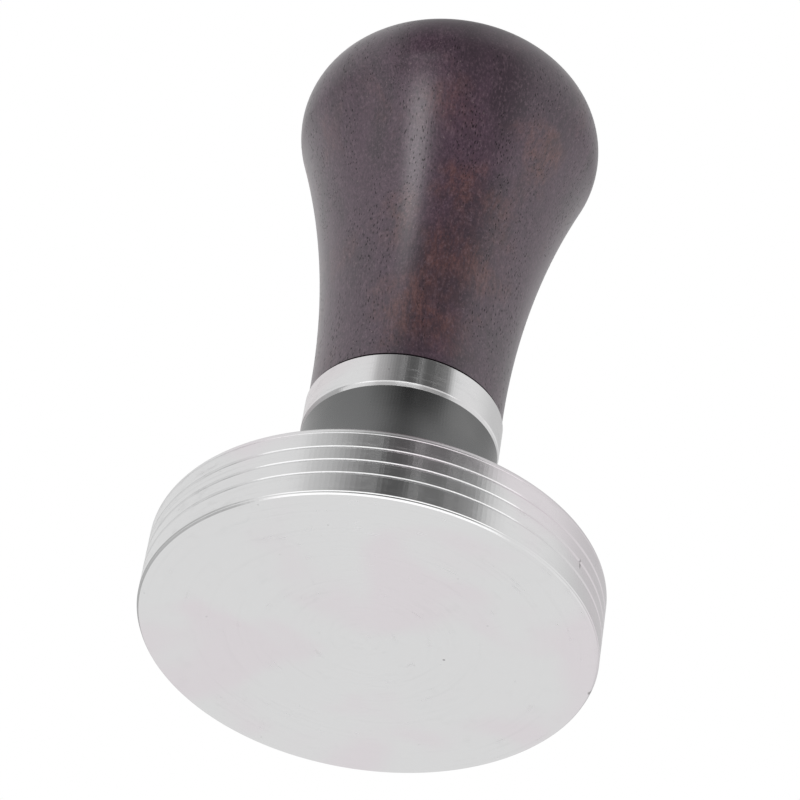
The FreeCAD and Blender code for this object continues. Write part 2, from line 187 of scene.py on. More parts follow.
tentLook = {
    "walls": 0.745,
    "backdrop": 1.0,
    # each pair is the start and the end of a fade, with turns and rises in degrees
    "backRight": -0.17,
    "backAcross": (0.0, 0.3),
    "backTurn": (80, 125),
    "backRise": (-10, 15),
    "ceiling": 0.32,
    "ceilingRise": (50, 64),
    "ceilingReach": 0.34,
    "ceilingRight": -0.13,
    "ceilingAcross": (0.05, 0.45),
    # below the level of the disc: its chamfer mirrors a sloping band, its grooves what is under it
    "bandDrop": 41,
    "bandTurn": 75,
    "bandSlope": 0.59,
    "chamferLeft": -0.34,
    "chamferLeftTurn": (-70, -78),
    "chamferLeftEnd": (168, 152),
    "chamferLeftBand": (-11, -4),
    "chamferLeftRise": (26, 12),
    "chamferRight": 0.08,
    "chamferRightTurn": (70, 78),
    "chamferRightEnd": (128, 108),
    "chamferRightBand": (11, 5),
    "grooveSides": -0.05,
    "grooveTurn": (76, 92),
    "grooveEnd": (165, 150),
    "grooveBand": (-11, -18),
    # shades of the opening at the front, from 60 degrees left to 60 degrees right
    "opening": [
        (-60, 0.745), (-48, 0.72), (-41, 0.55), (-34, 0.49), (-25, 0.34), (-15, 0.19),
        (-3, 0.085), (3, 0.085), (12, 0.145), (28, 0.135), (41, 0.25), (51, 0.64), (60, 0.745),
    ],
    "openingRise": (-34, -2),
    "openingEdge": (58, 60),
    # bright seams in the opening: degrees, half width, extra brightness
    "seams": [(-9.5, 1.0, 0.24), (10.5, 1.0, 0.28), (28.5, 0.8, 0.34), (36, 0.7, 0.24)],
    "seamCore": 0.3,
    "seamRise": (12, 22),
    "lamp": 0.42,
    "lampAim": (-0.02, -0.40, -0.916),
    "lampReach": 41.0,
    "lampBlur": (-0.01, 0.02),
}


def makeTent(look):
    world = bpy.data.worlds.new("tent")
    scene.world = world
    world.use_nodes = True
    world.node_tree.nodes.clear()
    bench = Bench(world.node_tree)

    def within(value, label):
        return bench.fade(value, *look[label])

    def even(shade):
        return bench.join(shade, shade, shade)

    direction = bench.node("ShaderNodeTexCoord", out="Generated")
    x, y, z = bench.split(direction)
    turn = bench.calc("ARCTAN2", x, 0 - y) * math.degrees(1)
    rise = bench.calc("ARCSINE", z) * math.degrees(1)
    side = bench.calc("ABSOLUTE", turn)
    high = within(rise, "ceilingRise")
    back = within(x, "backAcross") * within(side, "backTurn") * within(rise, "backRise")
    band = rise + look["bandDrop"] - (side - look["bandTurn"]) * look["bandSlope"]
    left = within(turn, "chamferLeftTurn") * within(side, "chamferLeftEnd")
    left = left * within(band, "chamferLeftBand") * within(rise, "chamferLeftRise")
    right = within(turn, "chamferRightTurn") * within(turn, "chamferRightEnd")
    right = right * within(bench.calc("ABSOLUTE", band), "chamferRightBand")
    under = within(side, "grooveTurn") * within(side, "grooveEnd") * within(band, "grooveBand")
    walls = (look["walls"] + back * look["backRight"] + left * look["chamferLeft"]
             + under * look["grooveSides"] + right * look["chamferRight"])
    first, last = look["opening"][0][0], look["opening"][-1][0]
    stops = [((angle - first) / (last - first), shade) for angle, shade in look["opening"]]
    opening = bench.node("ShaderNodeValToRGB", {"stops": stops},
                         {"Fac": (turn - first) / (last - first)})
    level = bench.blend(within(rise, "openingRise"), even(walls), opening)
    level = bench.blend(within(side, "openingEdge") * (1 - high), level, even(walls))
    seams = 0
    for angle, reach, extra in look["seams"]:
        away = bench.calc("ABSOLUTE", turn - angle)
        seams = seams + bench.fade(away, reach, reach * look["seamCore"]) * extra
    seams = seams * within(rise, "seamRise") * (1 - high)
    level = bench.vector("ADD", level, even(seams))
    sideways = bench.fade(bench.calc("ABSOLUTE", x), 0.0, look["ceilingReach"])
    ceiling = (look["ceiling"] + sideways * (look["walls"] - look["ceiling"])
               + within(x, "ceilingAcross") * look["ceilingRight"])
    level = bench.blend(high, level, even(ceiling))
    aim = bench.vector("DOT_PRODUCT", direction, look["lampAim"], out="Value")
    edge = math.cos(math.radians(look["lampReach"]))
    lamp = bench.fade(aim, *(edge + blur for blur in look["lampBlur"])) * look["lamp"]
    level = bench.vector("ADD", level, even(lamp))
    seen = bench.node("ShaderNodeLightPath", out="Is Camera Ray")
    level = bench.blend(seen, level, grey(look["backdrop"]))
    shade = bench.node("ShaderNodeBackground", None, {"Color": level, "Strength": 1.0})
    bench.node("ShaderNodeOutputWorld", None, {"Surface": shade})


softboxLook = {
    "turn": -27.0,
    "rise": 17.0,
    "distance": 0.9,
    "aimHeight": 0.06,
    "width": 0.24,
    "height": 0.28,
    "brightness": 4.5,
}


def makeSoftbox(look):
    turn, rise = math.radians(look["turn"]), math.radians(look["rise"])
    back = Vector((math.sin(turn) * math.cos(rise), -math.cos(turn) * math.cos(rise),
                   math.sin(rise)))
    data = bpy.data.lights.new("softbox", "AREA")
    data.shape = "ELLIPSE"
    data.size = look["width"]
    data.size_y = look["height"]
    # watts that give this brightness over the area of the ellipse
    data.energy = look["brightness"] * math.pi ** 2 / 4 * look["width"] * look["height"]
    light = bpy.data.objects.new("softbox", data)
    light.location = Vector((0, 0, look["aimHeight"])) + back * look["distance"]
    light.rotation_euler = back.to_track_quat("Z", "Y").to_euler()
    light.visible_camera = False
    scene.collection.objects.link(light)
    return light


def lightOnly(light, pieces):
    # the softbox is for the lacquer, and is kept off the metals
    lit = bpy.data.collections.new("softboxLights")
    for piece in pieces:
        lit.objects.link(piece)
    light.light_linking.receiver_collection = lit


floorLook = {
    "radius": 1.1,
    "gap": 0.0002,
    "paleness": 0.86,
    "glow": 0.30,
    "roughness": 0.8,
    "fade": (0.98, 0.25),       # shares of the radius
    "corners": 96,
}


def makeFloor(look):
    mesh = bpy.data.meshes.new("floor")
    radius, corners = look["radius"], look["corners"]
    ring = [(radius * math.cos(fullTurn * k / corners), radius * math.sin(fullTurn * k / corners),
             -look["gap"]) for k in range(corners)]
    mesh.from_pydata(ring, [], [list(range(corners))])
    finish = bpy.data.materials.new("paleFloor")
    finish.use_nodes = True
    finish.node_tree.nodes.clear()
    bench = Bench(finish.node_tree)
    place = bench.node("ShaderNodeTexCoord", out="Object")
    reach = bench.vector("LENGTH", place, out="Value")
    underneath = bench.node("ShaderNodeNewGeometry", out="Backfacing")
    shown = bench.fade(reach, *(radius * share for share in look["fade"])) * (1 - underneath)
    paint = bench.node("ShaderNodeBsdfPrincipled", None, {
        "Base Color": grey(look["paleness"]), "Roughness": look["roughness"],
        "Emission Color": grey(1.0), "Emission Strength": look["glow"]})
    clear = bench.node("ShaderNodeBsdfTransparent")
    both = bench.node("ShaderNodeMixShader", None, {0: shown, 1: clear, 2: paint})
    bench.node("ShaderNodeOutputMaterial", None, {"Surface": both})
    mesh.materials.append(finish)
    floor = bpy.data.objects.new("floor", mesh)
    floor.visible_diffuse = False
    floor.visible_glossy = False
    floor.visible_transmission = False
    floor.visible_shadow = False
    scene.collection.objects.link(floor)


makeCamera(cameraLook)
makeTent(tentLook)
softbox = makeSoftbox(softboxLook)
makeFloor(floorLook)
scene.view_settings.view_transform = "Standard"
print("camera, light and floor made")


# shares of half a pitch where the cut of a thread begins and where it is full
threadFlank = (0.125, 0.75)


def makeLatheTree():
    tree = bpy.data.node_groups.new("latheTurn", "GeometryNodeTree")
    for label, kind in (("Profile", "NodeSocketGeometry"), ("Segments", "NodeSocketInt"),
                        ("Thread Pitch", "NodeSocketFloat"), ("Crease", "NodeSocketFloat"),
                        ("Finish", "NodeSocketMaterial")):
        tree.interface.new_socket(label, in_out="INPUT", socket_type=kind)
    tree.interface.new_socket("Piece", in_out="OUTPUT", socket_type="NodeSocketGeometry")
    bench = Bench(tree)
    given = {label: bench.node("NodeGroupInput", out=label)
             for label in ("Profile", "Segments", "Thread Pitch", "Crease", "Finish")}
    rows = bench.node("GeometryNodeAttributeDomainSize", {"component": "MESH"},
                      {"Geometry": given["Profile"]}, "Point Count")
    sheet = bench.node("GeometryNodeMeshGrid", None,
                       {"Vertices X": given["Segments"] + 1, "Vertices Y": rows})
    index = bench.node("GeometryNodeInputIndex")
    column = bench.calc("FLOOR", index / rows)
    level = index - column * rows

    def onProfile(value, kind):
        return bench.node("GeometryNodeSampleIndex", {"data_type": kind},
                          {"Geometry": given["Profile"], "Value": value, "Index": level})

    def marked(label):
        value = bench.node("GeometryNodeInputNamedAttribute", {"data_type": "FLOAT"},
                           {"Name": label})
        return onProfile(value, "FLOAT")

    across, _, up = bench.split(onProfile(bench.node("GeometryNodeInputPosition"), "FLOAT_VECTOR"))
    angle = column / given["Segments"] * fullTurn
    wave = bench.calc("FRACT", up / given["Thread Pitch"] - column / given["Segments"])
    flank = bench.calc("ABSOLUTE", wave * 2 - 1)
    begins, full = threadFlank
    depth = bench.node("ShaderNodeMapRange", None,
                       {"Value": flank, "From Min": begins, "From Max": full})
    threaded = bench.calc("MINIMUM", across - marked("threadCut") * depth, marked("limit"))
    sector = bench.calc("FLOORED_MODULO", angle, fullTurn / hexSides) - fullTurn / hexSides / 2
    flat = marked("flatSpan")
    sixSided = bench.calc("MINIMUM", threaded, flat / bench.calc("COSINE", sector))
    hasFlats = bench.calc("GREATER_THAN", flat, 0.0)
    radius = threaded + (sixSided - threaded) * hasFlats
    place = bench.join(radius * bench.calc("COSINE", angle), radius * bench.calc("SINE", angle), up)
    turned = bench.node("GeometryNodeSetPosition", None, {"Geometry": sheet, "Position": place})
    merged = bench.node("GeometryNodeMergeByDistance", None,
                        {"Geometry": turned, "Distance": weldReach})
    bend = bench.node("GeometryNodeInputMeshEdgeAngle", out="Unsigned Angle")
    smooth = bench.node("GeometryNodeSetShadeSmooth", {"domain": "EDGE"}, {
        "Geometry": merged, "Shade Smooth": bench.calc("LESS_THAN", bend, given["Crease"])})
    real = bench.node("GeometryNodeRealizeInstances", None, {"Geometry": smooth})
    dressed = bench.node("GeometryNodeSetMaterial", None,
                         {"Geometry": real, "Material": given["Finish"]})
    bench.node("NodeGroupOutput", None, {"Piece": dressed})
    return tree


def row(across, up, flat=0.0, cut=0.0, limit=noLimit):
    return (across, up, flat, cut, limit)


# eases of corners in millimetres, from the sharpest to the roundest
crisp, keen, trim, slight, mild, soft, blunt = 0.02, 0.03, 0.05, 0.1, 0.15, 0.2, 0.3


def eased(corners, steps=4, share=0.45):
    # corners are (radius, height, ease): each is cut back by its ease and rounded
    rows = []
    for index, (across, up, ease) in enumerate(corners):
        here = Vector((across, up))
        if not ease:
            rows.append(row(across, up))
            continue
        before = Vector(corners[index - 1][:2]) - here
        after = Vector(corners[(index + 1) % len(corners)][:2]) - here
        start = here + before.normalized() * min(ease, before.length * share)
        end = here + after.normalized() * min(ease, after.length * share)
        for step in range(steps + 1):
            part = step / steps
            point = start * (1 - part) ** 2 + here * 2 * part * (1 - part) + end * part ** 2
            rows.append(row(point.x, point.y))
    return rows


def arc(centre, radius, first, last, steps):
    # angles in radians from the outward direction
    return [(centre[0] + radius * math.cos(first + (last - first) * k / steps),
             centre[1] + radius * math.sin(first + (last - first) * k / steps), 0)
            for k in range(steps + 1)]


def turnPiece(name, rows, finish, segments, pitch=1.25, crease=32.0):
    # rows are in millimetres, anticlockwise seen with the axis on the left
    mesh = bpy.data.meshes.new(name)
    mesh.from_pydata([(across * mm, 0, up * mm) for across, up, *_ in rows],
                     [(k, k + 1) for k in range(len(rows) - 1)], [])
    for label, place in (("flatSpan", 2), ("threadCut", 3), ("limit", 4)):
        layer = mesh.attributes.new(label, "FLOAT", "POINT")
        layer.data.foreach_set("value", [one[place] * mm for one in rows])
    piece = bpy.data.objects.new(name, mesh)
    scene.collection.objects.link(piece)
    modifier = piece.modifiers.new("lathe", "NODES")
    modifier.node_group = latheTree
    values = {"Segments": segments, "Thread Pitch": pitch * mm, "Crease": math.radians(crease),
              "Finish": finish}
    for item in latheTree.interface.items_tree:
        if item.name in values and item.in_out == "INPUT":
            modifier[item.identifier] = values[item.name]
    evaluated = piece.evaluated_get(bpy.context.evaluated_depsgraph_get())
    made = bpy.data.meshes.new_from_object(evaluated)
    piece.modifiers.remove(modifier)
    piece.data = made
    bpy.data.meshes.remove(mesh)
    made.name = name
    return closed(piece, finish)


def closed(piece, finish):
    work = bmesh.new()
    work.from_mesh(piece.data)
    bmesh.ops.remove_doubles(work, verts=work.verts, dist=weldReach)
    bmesh.ops.dissolve_degenerate(work, edges=work.edges, dist=tinyEdge)
    if work.calc_volume(signed=True) < 0:
        bmesh.ops.reverse_faces(work, faces=work.faces)
    loose = sum(1 for edge in work.edges if not edge.is_manifold)
    print(piece.name, "faces", len(work.faces), "open edges", loose,
          "volume", round(work.calc_volume() / mm ** 3, 1))
    work.to_mesh(piece.data)
    work.free()
    if not piece.data.materials:
        piece.data.materials.append(finish)
    return piece


def settlePiece(piece, body, node):
    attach(piece, body)
    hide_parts(node)


latheTree = makeLatheTree()


def newFinish(name):
    finish = bpy.data.materials.new(name)
    finish.use_nodes = True
    finish.node_tree.nodes.clear()
    return finish, Bench(finish.node_tree)


def aroundAxis(bench):
    # the place on the piece, its distance from the axis and its direction round the axis
    place = bench.node("ShaderNodeTexCoord", out="Object")
    x, y, z = bench.split(place)
    flat = bench.join(x, y, 0.0)
    reach = bench.vector("LENGTH", flat, out="Value")
    return place, reach, z, bench.vector("NORMALIZE", flat)


def turningMarks(bench, reach, z, around, spread, spacing, detail=3.0, slant=1.7):
    # fine lines that run round the axis, and fade in and out along their length
    along = (reach + z * slant) / spacing
    x, y, _ = bench.split(bench.scaled(around, spread))
    return bench.noise(bench.join(x, y, along), 1.0, detail, roughness=0.6)


def hairlines(bench, place, scale, width, core=0.4, keptScale=2.3, keptFade=(0.53, 0.62)):
    # thin broken scratches: the zero line of a slow noise, kept in places
    path = bench.noise(place, scale, detail=1.0, distortion=0.4)
    line = 1 - bench.fade(bench.calc("ABSOLUTE", path - 0.5), width * core, width)
    return line * bench.fade(bench.noise(place, scale * keptScale), *keptFade)


def spot(bench, place, centre, size, stretch=(1, 1, 1), core=0.5):
    # a mark at a known place, in millimetres, full inside its core
    offset = bench.vector("SUBTRACT", place, tuple(value * mm for value in centre))
    offset = bench.vector("MULTIPLY", offset, stretch)
    return 1 - bench.fade(bench.vector("LENGTH", offset, out="Value"), size * mm * core, size * mm)


def finishMetal(bench, look, colour, roughness, height, depth):
    bump = bench.node("ShaderNodeBump", None, {"Strength": 1.0, "Distance": depth, "Height": height})
    shader = bench.node("ShaderNodeBsdfPrincipled", None, {
        "Base Color": colour, "Roughness": roughness, "Metallic": 1.0, "Normal": bump,
        "Anisotropic": look["brushed"], "Anisotropic Rotation": look["brushTurn"]})
    bench.node("ShaderNodeOutputMaterial", None, {"Surface": shader})


brightLook = {
    "colour": (0.905, 0.905, 0.908, 1),
    "tint": (0.905, 0.860, 0.887, 1),
    "mark": (0.30, 0.29, 0.29, 1),
    "roughness": 0.12,
    "brushed": 0.95,
    "brushTurn": 0.25,
    # scales of noises, and pairs where a noise starts and stops to count
    "blotch": 52.0,
    "blotchFade": (0.46, 0.62),
    "cloud": 380.0,
    "cloudStretch": (1.0, 1.0, 2.5),
    "cloudFade": (0.50, 0.72),
    "broadFade": (0.50, 0.70),
    "dull": 0.16,
    "dullShare": 0.6,
    # turning lines: spacing and depth in metres, and how fast they change round the axis
    "lineSpacing": 0.00007,
    "lineDepth": 0.0000035,
    "lineSpread": 3.0,
    "lineRough": 0.03,
    "broadStep": 9,
    "broadSpread": 1.2,
    "broadHeight": 1.5,
    "scratch": 70.0,
    "scratchWidth": 0.0022,
    "scratchDark": 0.03,
    "scratchRough": 0.04,
    "speck": 300.0,
    "speckFade": (0.03, 0.045),
    "speckDark": 0.22,
}


def makeBrightAluminium(name, look, marks):
    finish, bench = newFinish(name)
    place, reach, z, around = aroundAxis(bench)
    lines = turningMarks(bench, reach, z, around, look["lineSpread"], look["lineSpacing"])
    broad = turningMarks(bench, reach, z, around, look["broadSpread"],
                         look["lineSpacing"] * look["broadStep"], detail=2.0)
    blotch = bench.fade(bench.noise(place, look["blotch"], distortion=0.3), *look["blotchFade"])
    scratch = hairlines(bench, place, look["scratch"], look["scratchWidth"])
    specks = 1 - bench.fade(bench.cells(place, look["speck"]), *look["speckFade"])
    stretched = bench.vector("MULTIPLY", place, look["cloudStretch"])
    cloud = bench.noise(stretched, look["cloud"], detail=3.0, roughness=0.6)
    marked = specks * look["speckDark"] + scratch * look["scratchDark"]
    for centre, size, stretch, strength in marks:
        marked = marked + spot(bench, place, centre, size, stretch) * strength
    colour = bench.blend(blotch, look["colour"], look["tint"])
    colour = bench.blend(bench.calc("MINIMUM", marked, 1.0), colour, look["mark"])
    dull = (bench.fade(broad, *look["broadFade"]) * look["dullShare"]
            + bench.fade(cloud, *look["cloudFade"]) * look["dullShare"])
    roughness = (look["roughness"] + dull * look["dull"] + lines * look["lineRough"]
                 + scratch * look["scratchRough"])
    height = lines + broad * look["broadHeight"]
    finishMetal(bench, look, colour, roughness, height, look["lineDepth"])
    return finish


satinLook = {
    "colour": (0.196, 0.198, 0.199, 1),
    "worn": (0.222, 0.222, 0.222, 1),
    "roughness": 0.27,
    "brushed": 0.35,
    "brushTurn": 0.25,
    "cloud": 120.0,
    "cloudFade": (0.4, 0.7),
    "cloudRough": 0.08,
    "blast": 9000.0,
    "blastDepth": 0.000004,
    "blastRough": 0.10,
    "ringSpacing": 0.00016,
    "ringSpread": 1.5,
    "ringHeight": 0.5,
}


def makeDarkSatin(name, look):
    finish, bench = newFinish(name)
    place, reach, z, around = aroundAxis(bench)
    fine = bench.noise(place, look["blast"], detail=3.0, roughness=0.6)
    cloud = bench.noise(place, look["cloud"], detail=3.0, roughness=0.55)
    rings = turningMarks(bench, reach, z, around, look["ringSpread"], look["ringSpacing"])
    colour = bench.blend(bench.fade(cloud, *look["cloudFade"]), look["colour"], look["worn"])
    roughness = (look["roughness"] + (fine - 0.5) * look["blastRough"]
                 + (cloud - 0.5) * look["cloudRough"])
    height = fine + rings * look["ringHeight"]
    finishMetal(bench, look, colour, roughness, height, look["blastDepth"])
    return finish


plainLook = {
    "brushed": 0.0,
    "brushTurn": 0.0,
    "cloud": 420.0,
    "cloudFade": (0.35, 0.65),
    "cloudRough": 0.25,
    "blast": 6000.0,
    "lineSpacing": 0.0001,
    "lineSpread": 2.0,
}

zincLook = {
    **plainLook,
    "colour": (0.62, 0.66, 0.70, 1),
    "warm": (0.66, 0.66, 0.62, 1),
    "roughness": 0.30,
    "blastDepth": 0.000006,
}

brassLook = {
    **plainLook,
    "colour": (0.78, 0.58, 0.27, 1),
    "warm": (0.66, 0.45, 0.20, 1),
    "roughness": 0.27,
    "blastDepth": 0.000005,
}


def makePlainMetal(name, look):
    finish, bench = newFinish(name)
    place, reach, z, around = aroundAxis(bench)
    cloud = bench.noise(place, look["cloud"], detail=3.0, roughness=0.6, distortion=0.5)
    fine = bench.noise(place, look["blast"])
    lines = turningMarks(bench, reach, z, around, look["lineSpread"], look["lineSpacing"])
    colour = bench.blend(bench.fade(cloud, *look["cloudFade"]), look["colour"], look["warm"])
    roughness = look["roughness"] + (cloud - 0.5) * look["cloudRough"]
    finishMetal(bench, look, colour, roughness, fine + lines, look["blastDepth"])
    return finish


# marks in the metal: place in millimetres, size, stretch, strength
discMarks = [
    ((9.9, 1.5, 0.0), 0.22, (1, 1, 1), 0.7),
    ((28.75, 3.4, 0.1), 0.55, (1, 1, 1), 0.8),
    ((24.1, -16.1, 4.9), 0.30, (1, 1, 0.35), 0.6),
]
ringMarks = [
    ((-2.9, -12.6, 33.2), 0.16, (1, 1, 1), 0.3),
    ((-3.1, -12.6, 33.2), 2.0, (1, 1, 0.2), 0.28),
    ((3.3, -12.5, 33.2), 2.6, (1, 1, 0.2), 0.48),
]
ringLook = {**brightLook, "tint": (0.89, 0.85, 0.865, 1)}

discMetal = makeBrightAluminium("brightDisc", brightLook, discMarks)
ringMetal = makeBrightAluminium("brightRing", ringLook, ringMarks)
neckMetal = makeDarkSatin("darkSatin", satinLook)
steel = makePlainMetal("zincSteel", zincLook)
brass = makePlainMetal("insertBrass", brassLook)
print("metals made")


discShape = {
    # inset from the rim, height, ease
    "chamfer": [(0.30, 0, crisp), (0.11, 0.19, crisp), (0.11, 0.34, crisp), (0, 0.45, keen)],
    "grooves": (3.15, 5.15, 7.15),
    "grooveDepth": 0.27,
    "grooveMouth": 0.20,
    "grooveSag": 0.01,
    "rimRound": 1.1,
    "rimLead": [(0, 0.13), (0.05, 0.03)],       # inset from the rim, drop below the round
    "bossRadius": 9.0,
    "bossRise": 1.5,
    "boreRadius": 4.0,
    "boreFloor": 4.5,
    "segments": 288,
}


def makeDisc(shape):
    edge, top, mouth = discRadius, discTop, shape["grooveMouth"]
    corners = [(0, 0, 0)] + [(edge - inset, up, ease) for inset, up, ease in shape["chamfer"]]
    for level in shape["grooves"]:
        corners += [(edge, level - mouth, crisp),
                    (edge - shape["grooveDepth"], level + shape["grooveSag"], keen),
                    (edge, level + mouth, crisp)]
    start, boss = top - shape["rimRound"], top + shape["bossRise"]
    corners += [(edge - inset, start - drop, 0) for inset, drop in shape["rimLead"]]
    corners += arc((edge - shape["rimRound"], start), shape["rimRound"], 0.0, math.pi / 2, steps=14)
    corners += [(shape["bossRadius"], top, slight), (shape["bossRadius"], boss, soft),
                (shape["boreRadius"], boss, mild),
                (shape["boreRadius"], shape["boreFloor"], trim), (0, shape["boreFloor"], 0)]
    piece = turnPiece("tampingDisc", eased(corners), discMetal, shape["segments"])
    settlePiece(piece, "base", "tamping_base")


makeDisc(discShape)


neckShape = {
    "footRadius": 20.5,
    "footRise": 1.0,
    "topRadius": 12.8,
    "pocketRadius": 9.0,
    "pocketFloor": 19.7,
    "holeRadius": 4.05,
    "recessRadius": 9.1,
    "recessRise": 1.6,
    "segments": 192,
}


def makeNeck(shape):
    spread = shape["footRadius"] - shape["topRadius"]
    drop = neckTop - (discTop + shape["footRise"])
    radius = (spread ** 2 + drop ** 2) / (2 * spread)
    sweep = math.asin(drop / radius)
    flank = arc((shape["topRadius"] + radius, neckTop), radius, math.pi + sweep, math.pi, steps=40)
    under = discTop + shape["recessRise"]
    rows = eased([
        (shape["recessRadius"], discTop, 0), (shape["footRadius"], discTop, mild), *flank[:-1],
        (shape["topRadius"], neckTop, slight),
        (shape["pocketRadius"], neckTop, soft), (shape["pocketRadius"], shape["pocketFloor"], blunt),
        (shape["holeRadius"], shape["pocketFloor"], slight), (shape["holeRadius"], under, slight),
        (shape["recessRadius"], under, slight), (shape["recessRadius"], discTop, 0),
    ])
    piece = turnPiece("neckBell", rows, neckMetal, shape["segments"])
    settlePiece(piece, "base", "neck_collar")


makeNeck(neckShape)


ringShape = {
    "radius": 12.95,
    "lip": [(0.48, 0), (0.34, 0.14), (0.12, 0.52), (0, 0.64)],      # inset from the radius, height
    "rimEase": 0.06,
    "recessRadius": 9.1,
    "web": 2.0,
    "holeRadius": 4.05,
    "segments": 224,
}


def makeRing(shape):
    edge, foot, web = shape["radius"], neckTop, neckTop + shape["web"]
    rows = eased([
        (shape["holeRadius"], foot, slight),
        *((edge - inset, foot + rise, crisp) for inset, rise in shape["lip"]),
        (edge, ringTop, shape["rimEase"]), (shape["recessRadius"], ringTop, mild),
        (shape["recessRadius"], web, trim), (shape["holeRadius"], web, slight),
        (shape["holeRadius"], foot, slight),
    ])
    piece = turnPiece("ferruleRing", rows, ringMetal, shape["segments"])
    settlePiece(piece, "ferrule", "ferrule_ring")


makeRing(ringShape)


handleShape = {
    "waistRadius": 12.72,
    "waistRise": 2.3,
    "bulbRadius": 20.5,
    "crownRise": 13.5,
    "shoulderRadius": 10.5,
    "tenonRadius": 9.0,
    "boreRadius": 6.05,
    "boreTop": 49.05,
    "footGap": 0.34,
    "footStep": 0.8,        # share of the gap that stands upright
    "footClear": 0.3,
    "footEase": 0.08,
    "segments": 224,
}

woodLook = {
    "dark": (0.042, 0.024, 0.037, 1),
    "body": (0.092, 0.050, 0.078, 1),
    "pale": (0.230, 0.155, 0.190, 1),
    "red": (0.180, 0.070, 0.056, 1),
    "pore": (0.010, 0.006, 0.009, 1),
    "speck": (0.42, 0.33, 0.32, 1),
    # noises that push the grain and the clouds about: scale, detail, reach in metres
    "sway": (38.0, 2.0, 0.007),
    "tear": (260.0, 4.0, 0.012),
    # noises along the grain: stretch, scale, detail, roughness, distortion
    "noises": {
        "fibre": ((1.0, 1.0, 0.16), 2300.0, 3.0, 0.6, 0.0),
        "fleck": ((1.0, 1.0, 0.35), 1300.0, 4.0, 0.7, 0.0),
        "band": ((1.0, 0.8, 0.30), 190.0, 4.0, 0.6, 0.8),
        "patch": ((1.0, 1.0, 0.6), 120.0, 4.0, 0.6, 0.5),
        "mottle": ((1.0, 1.0, 0.5), 3900.0, 2.0, 0.7, 0.0),
        "crowd": ((1.0, 1.0, 0.16), 300.0, 2.0, 0.5, 0.0),
    },
    # stains laid over each other: noise, start and end of its fade, strength, colour
    "stains": [
        ("fleck", 0.50, 0.74, 0.30, "pale"), ("fleck", 0.48, 0.28, 0.50, "dark"),
        ("fibre", 0.52, 0.30, 0.30, "dark"), ("mottle", 0.50, 0.72, 0.42, "pale"),
        ("mottle", 0.50, 0.30, 0.75, "dark"),
    ],
    "bandFade": (0.25, 0.58),
    "patchFade": (0.52, 0.72),
    "patchShare": 0.35,
    "cloudSpread": 1.6,
    "cloudStretch": (1, 1, 0.8),
    "redShare": 0.85,
    "redFade": (0.38, 0.62),
    "redLeast": 0.30,
    "redFleck": 0.60,
    "darkShare": 0.75,
    "darkLeast": 0.6,
    "darkFleck": 0.5,
    "poreSize": 3400.0,
    "poreStretch": (1.0, 1.0, 0.28),
    "poreFade": (0.17, 0.30),
    "poreLeast": 0.15,
    "poreDark": 0.80,
    "crowdFade": (0.40, 0.62),
    "speckSize": 700.0,
    "speckFade": (0.04, 0.08),
    "speckPale": 0.35,
    # painted shade: the crown of the handle darkened towards its top, standing in for light that does
    # not reach it
    "crownShadeFade": (80, 94),          # height in millimetres
    "crownPaintedShade": 0.45,
    "footFade": (0.36, 0.48),       # millimetres above the ring
    "roughness": 0.46,
    "fibreRough": 0.12,
    "poreRough": 0.2,
    "footRough": 0.4,
    "coatRoughness": 0.29,
    "coatIor": 1.64,
    "poreBare": 0.6,
    "shine": 0.15,
    "relief": 0.00006,
    "fibreHeight": 0.10,
    "fleckHeight": 0.08,
    "sandingHeight": 0.10,
    "sandingSpacing": 0.00011,
    "sandingSpread": 1.6,
    # lists: degrees round the handle from the front, height and size in millimetres, strength
    "rubbedByPalm": [(-15, 84, 4.7, 0.9)],
    "redClouds": [
        (-5, 76, 3.6, 0.5), (45, 75, 3.4, 0.9), (10, 64, 3.2, 0.9), (-20, 58, 2.6, 0.6),
        (15, 53, 4.2, 1.0), (-5, 44, 4.6, 1.0), (40, 53, 2.6, 0.6), (35, 62, 2.8, 0.6),
        (20, 42, 3.2, 0.6), (-160, 68, 5.0, 0.8), (130, 50, 4.5, 0.8), (-110, 77, 4.5, 0.7),
    ],
    "darkClouds": [
        (30, 82, 5.0, 0.9), (5, 84, 5.0, 0.8), (15, 49, 2.8, 0.9), (-10, 52, 2.6, 0.7),
        (0, 40, 2.4, 0.7), (-25, 69, 2.4, 0.5), (20, 58, 2.6, 0.5), (150, 74, 5.0, 0.8),
        (-140, 55, 4.0, 0.7),
    ],
}


def onHandle(shape, turned, height):
    # the place on the wood at a direction round it and a height
    waistLevel = ringTop + shape["waistRise"]
    bulbLevel = handleTop - shape["crownRise"]
    climbed = min(1.0, (height - waistLevel) / (bulbLevel - waistLevel))
    across = shape["waistRadius"] + (shape["bulbRadius"] - shape["waistRadius"]) * climbed ** 2
    angle = math.radians(turned)
    return across * math.sin(angle), -across * math.cos(angle), height


def clouds(bench, place, look, label, core=0.15):
    total = 0
    for turned, height, size, strength in look[label]:
        centre = onHandle(handleShape, turned, height)
        reach = size * look["cloudSpread"]
        total = total + spot(bench, place, centre, reach, look["cloudStretch"], core) * strength
    return bench.calc("MINIMUM", total, 1.0)


def pushed(bench, place, scale, detail, reach):
    # the place moved about by a colour noise
    push = bench.node("ShaderNodeTexNoise", None,
                      {"Vector": place, "Scale": scale, "Detail": detail}, "Color")
    push = bench.vector("SUBTRACT", push, (0.5, 0.5, 0.5))
    return bench.vector("ADD", place, bench.scaled(push, reach))


